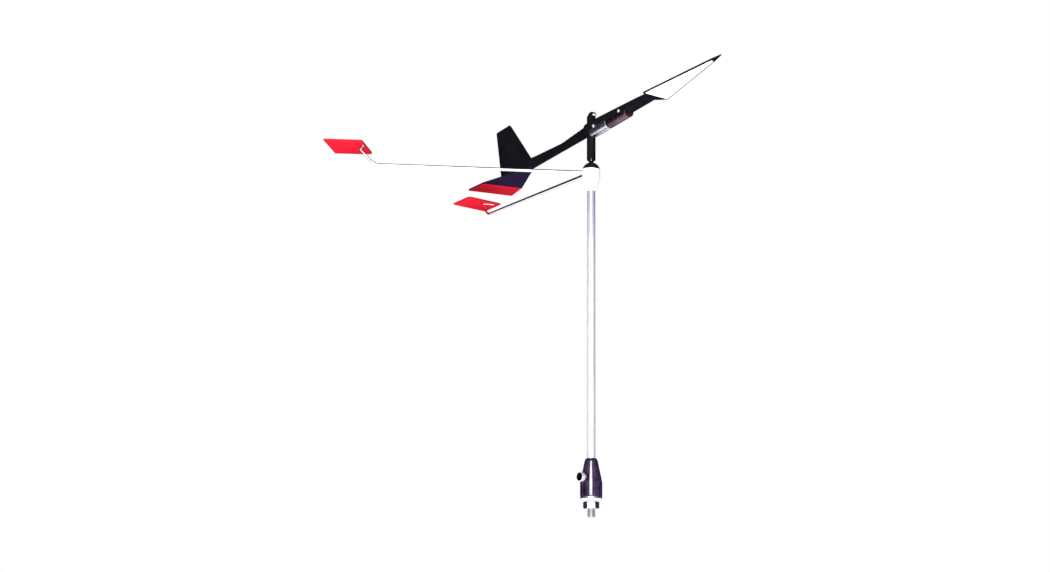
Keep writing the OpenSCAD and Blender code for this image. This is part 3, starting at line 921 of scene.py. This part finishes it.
VANE_HEADING = -38
TUBE_R = 3.23
TUBE_BORE_R = 2.0
WINDOW_R = 0.95
WINDOW_AZIMUTH = -26
EYE_Y = 1.95
EYE_H = 2.1
BOOM_HALF = 3.6
BOOM_NOSE = 93
BOOM_TAIL = -106
WEIGHT_R = 4.0
WEIGHT_Z = 0.2
WEIGHT_BACK = 4.2
WEIGHT_SPLIT = 30
WEIGHT_FRONT = 60
WEIGHT_SCREWS = (10.7, 51)
WEIGHT_SCREW_Z = 2.9
ARROW_BACK = 99
ARROW_TURN = 175.9
ARROW_NOSE = 187.4
ARROW_HALF = 9.5
ARROW_TURN_HALF = 1.8
ARROW_BANK = 6
ARROW_CLIMB = 1
TAIL_R = 192.6
TAIL_W = 40
STRIP_FRONT = 165.8


def on_vane(shell):
    """From the vane's own axes, +X towards its nose and +Y to its port side, to the row's."""
    return turned(shell, VANE_HEADING)


def side_slab(outline, half, ease):
    """A plate that stands along the vane, over an outline of (forward, up)."""
    return moved(slab(outline, -half, half, ease), rotation(90, "X"))


def cross_hole(r, y, z, steps):
    """A bar through the tube at the height z, y off its axis, in line with the tube's windows."""
    place = rotation(WINDOW_AZIMUTH, "Z") @ shift(0, y, z) @ LIE_ALONG_X
    return on_vane(moved(bar(r, -2 * TUBE_R, 2 * TUBE_R, 0, steps), place))


def tube():
    """A tube with a closed, tapered foot round the needle's guide."""
    low, high = span("bearing_tube")
    boom_z = span("boom")[0].z
    taper, mouth_r = 1.7, 1.2
    floor = low.z + taper + 1.6
    profile = [(mouth_r, low.z), (mouth_r + 0.5, low.z), (TUBE_R, low.z + taper), (TUBE_R, high.z),
               (TUBE_BORE_R, high.z), (TUBE_BORE_R, floor), (mouth_r, floor)]
    outline = rounded(profile, [0.05, 0.15, 0.5, 0.05, 0, 0, 0])
    windows = [cross_hole(WINDOW_R, 0, z, 32) for z in (low.z + taper - 0.1, boom_z - 1.4)]
    solid("bearing_tube_piece", on_vane(revolve(outline, 80, closed=True)),
          "vane", "vane_black", "bearing_tube", cut=windows)


def tube_cap():
    """A low dome with an upright lug, which has an eye and a small hole."""
    low, high = span("tube_cap")
    dome_h, lug_t = 2.2, 1.4
    arc = [math.radians(a) for a in range(0, 90, 6)]
    dome = [(0, low.z)]
    dome += [(TUBE_R * math.cos(a), low.z + dome_h * math.sin(a)) for a in arc]
    dome.append((0, low.z + dome_h))
    side = rounded([(0.15 - TUBE_R, 0), (TUBE_R - 0.1, 0), (EYE_Y + 1.75, EYE_H),
                    (EYE_Y + 1.3, EYE_H + 1.75), (0.2, high.z - low.z), (-1.9, EYE_H + 1.1)],
                   [0, 0, 1.2, 0.9, 0.9, 1.8])
    place = rotation(WINDOW_AZIMUTH, "Z") @ shift(0, 0, low.z) @ rotation(90, "Z") @ rotation(90, "X")
    lug = moved(slab(side, -lug_t / 2, lug_t / 2, 0.4, 4), place)
    holes = [cross_hole(r, y, low.z + z, 40) for r, y, z in ((1.25, EYE_Y, EYE_H), (0.45, -0.1, 1.3))]
    solid("tube_cap_piece", on_vane(revolve(dome, 64)), "vane", "vane_black", "tube_cap",
          add=[on_vane(lug)], cut=holes)


def along(table, u):
    """The value at u, on straight lines between the table's (u, value) points."""
    for (a, x), (b, y) in zip(table, table[1:]):
        if u <= b:
            return x + (y - x) * (u - a) / (b - a)
    return table[-1][1]


def eased(table, u, reach):
    """The value at u, with the table's bends rounded over reach, except near the boom's ends."""
    if not BOOM_TAIL + 2 < u < BOOM_NOSE - 2:
        return along(table, u)
    return sum(along(table, u + d) for d in (-reach, 0, reach)) / 3


def weight_bar(back, front, ease):
    """A round bar in the boom's groove, from back to front."""
    place = shift(0, 0, span("boom")[0].z + WEIGHT_Z) @ LIE_ALONG_X
    return on_vane(moved(bar(WEIGHT_R, back, front, ease, 56), place))


def boom():
    base = span("boom")[0].z
    edge = [(BOOM_TAIL, 1.4), (-60, 1.7), (-9, 2.2), (-4, 4.2), (4, 4.2), (9, BOOM_HALF),
            (BOOM_NOSE, BOOM_HALF)]
    top = [(BOOM_TAIL, 8.8), (-98, 8.2), (-48, 5.6), (-6, 7.4), (9, 8.2), (47, 6.6), (80, 5.1),
           (BOOM_NOSE, 4.13)]
    # Besides even steps, there are rings at each bend and close to the sharper ones
    places = sorted({float(u) for u in range(BOOM_TAIL + 1, BOOM_NOSE, 3)}
                    | {float(u) for u, _ in edge + top}
                    | {-49.5, -46.5, -10.5, -7.5, -2.5, 2.5, 6.0, 8.0, 10.0})
    rings = []
    for u in places:
        w = eased(edge, u, 1.2)
        h = eased(top, u, 2)
        crown = min(1.1, w * 0.62)
        foot = min(0.45, w * 0.3)
        outline = rounded([(-w, 0), (w, 0), (w, h), (-w, h)], [foot, foot, crown, crown], steps=5)
        rings.append([(u, p.x, base + p.y) for p in outline])
    shaft = bar(TUBE_R, base - 1, base + 20, 0, 64)
    solid("boom_piece", on_vane(loft(rings)), "vane", "vane_black", "boom",
          cut=[on_vane(shaft), weight_bar(WEIGHT_BACK, WEIGHT_FRONT, 0)], sharp=30)


def weights():
    solid("counterweight_piece", weight_bar(WEIGHT_BACK, WEIGHT_SPLIT, 0.25),
          "vane", "weight_steel", "counterweight")
    solid("trim_weight_piece", weight_bar(WEIGHT_SPLIT, WEIGHT_FRONT, 0.5),
          "vane", "weight_bronze", "trim_weight")


def weight_screws():
    base = span("boom")[0].z
    profile = [(0, 0), (0.7, 0), (0.7, 3.55), (1.2, 3.6), (1.15, 3.85), (0.95, 4.05), (0.6, 4.18), (0, 4.2)]
    screw = revolve(profile, 36)
    screws = [moved(screw, shift(u, 0, base + WEIGHT_SCREW_Z) @ rotation(90, "X")) for u in WEIGHT_SCREWS]
    solid("weight_screws_piece", on_vane(joined(*screws)), "vane", "screw_steel", "weight_screws")


def on_arrow(shell):
    """Tilts a shell about the middle of the boom's front end: banked to port, climbing to its tip."""
    pivot = shift(BOOM_NOSE, 0, span("boom")[0].z)
    tilt = rotation(-ARROW_CLIMB, "Y") @ rotation(-ARROW_BANK, "X")
    return on_vane(moved(shell, pivot @ tilt @ shift(-BOOM_NOSE, 0, 0)))


def arrow():
    thick, film_t = 0.9, 0.25
    root = BOOM_NOSE + 0.1
    outline = rounded([(root, -BOOM_HALF), (ARROW_BACK, -ARROW_HALF), (ARROW_TURN, -ARROW_TURN_HALF),
                       (ARROW_NOSE, 0), (ARROW_TURN, ARROW_TURN_HALF), (ARROW_BACK, ARROW_HALF),
                       (root, BOOM_HALF)], [0.3, 0.5, 2, 0.06, 2, 0.5, 0.3])
    solid("arrowhead_piece", on_arrow(slab(outline, 0, thick, 0.06)), "vane", "vane_black", "arrowhead")
    border = 1.0
    start = ARROW_BACK + 1.2
    half, turn_half = ARROW_HALF - border, ARROW_TURN_HALF - border
    panel = rounded([(start, -half), (ARROW_TURN, -turn_half), (ARROW_TURN, turn_half), (start, half)],
                    [0.6, 0.6, 0.6, 0.6])
    solid("arrow_panel_piece", on_arrow(slab(panel, -film_t, 0, 0.06, 2)),
          "vane", "white_film", "arrow_panel")


def fin():
    low, high = span("tail_plate")
    base, plate = low.z, high.z - low.z
    top = span("tail_fin")[1].z - base
    outline = rounded([(-166.4, base + plate), (BOOM_TAIL, base + plate), (BOOM_TAIL, base + 8.8),
                       (-108.6, base + 9.2), (-149.4, base + top - 2.6), (-152.4, base + top - 0.4),
                       (-179.5, base + top)], [0.2, 0, 0, 1.0, 1.5, 1.5, 1.0])
    solid("tail_fin_piece", on_vane(side_slab(outline, 0.6, 0.35)), "vane", "vane_black", "tail_fin")


def tail_outline(stations, inset=0):
    """The tail plate's outline through stations behind the pivot. It widens less from its strip on."""
    half = TAIL_W / 2
    widths = [(-BOOM_TAIL, 1.4), (STRIP_FRONT, half - 2.5), (TAIL_R, half)]
    sides = [(r, along(widths, r) - inset) for r in stations]
    return [(-r, -w) for r, w in reversed(sides)] + [(-r, w) for r, w in sides]


def tail():
    low, high = span("tail_plate")
    outline = rounded(tail_outline([-BOOM_TAIL, STRIP_FRONT, TAIL_R]), [1.2, 0.6, 0, 0, 0.6, 1.2])
    solid("tail_plate_piece", on_vane(slab(outline, low.z, high.z, 0.3)),
          "vane", "tail_violet", "tail_plate")
    film_low, film_high = span("tail_reflector")
    strip = rounded(tail_outline([STRIP_FRONT + 0.3, TAIL_R - 0.4], 0.4), [0.8, 0.3, 0.3, 0.8])
    solid("tail_reflector_piece", on_vane(slab(strip, film_low.z, film_high.z, 0.06, 2)),
          "vane", "red_film", "tail_reflector")


def hidden_pieces():
    """Small inner pieces keep their CAD shape."""
    slots = {s["node"]: s["material_slot"] for s in frame["record"]["subparts"]}
    for name in ("wave_washer", "pivot_needle", "jewel_holder", "pivot_jewel", "lower_guide"):
        node = frame["nodes"][name]
        node.data.materials.clear()
        node.data.materials.append(MATERIALS[slots[name]])
        add_to_lights(node, slots[name])


bpy.context.scene.view_settings.view_transform = "Standard"
add_camera()
add_world()
add_floor()
add_lights()
stud()
nut()
plug()
socket()
clamp_screw()
rod()
hub()
hub_cap()
for side in ("port", "starboard"):
    collar(side)
    arm(side)
    tab(side)
tube()
tube_cap()
boom()
weights()
weight_screws()
arrow()
fin()
tail()
hidden_pieces()
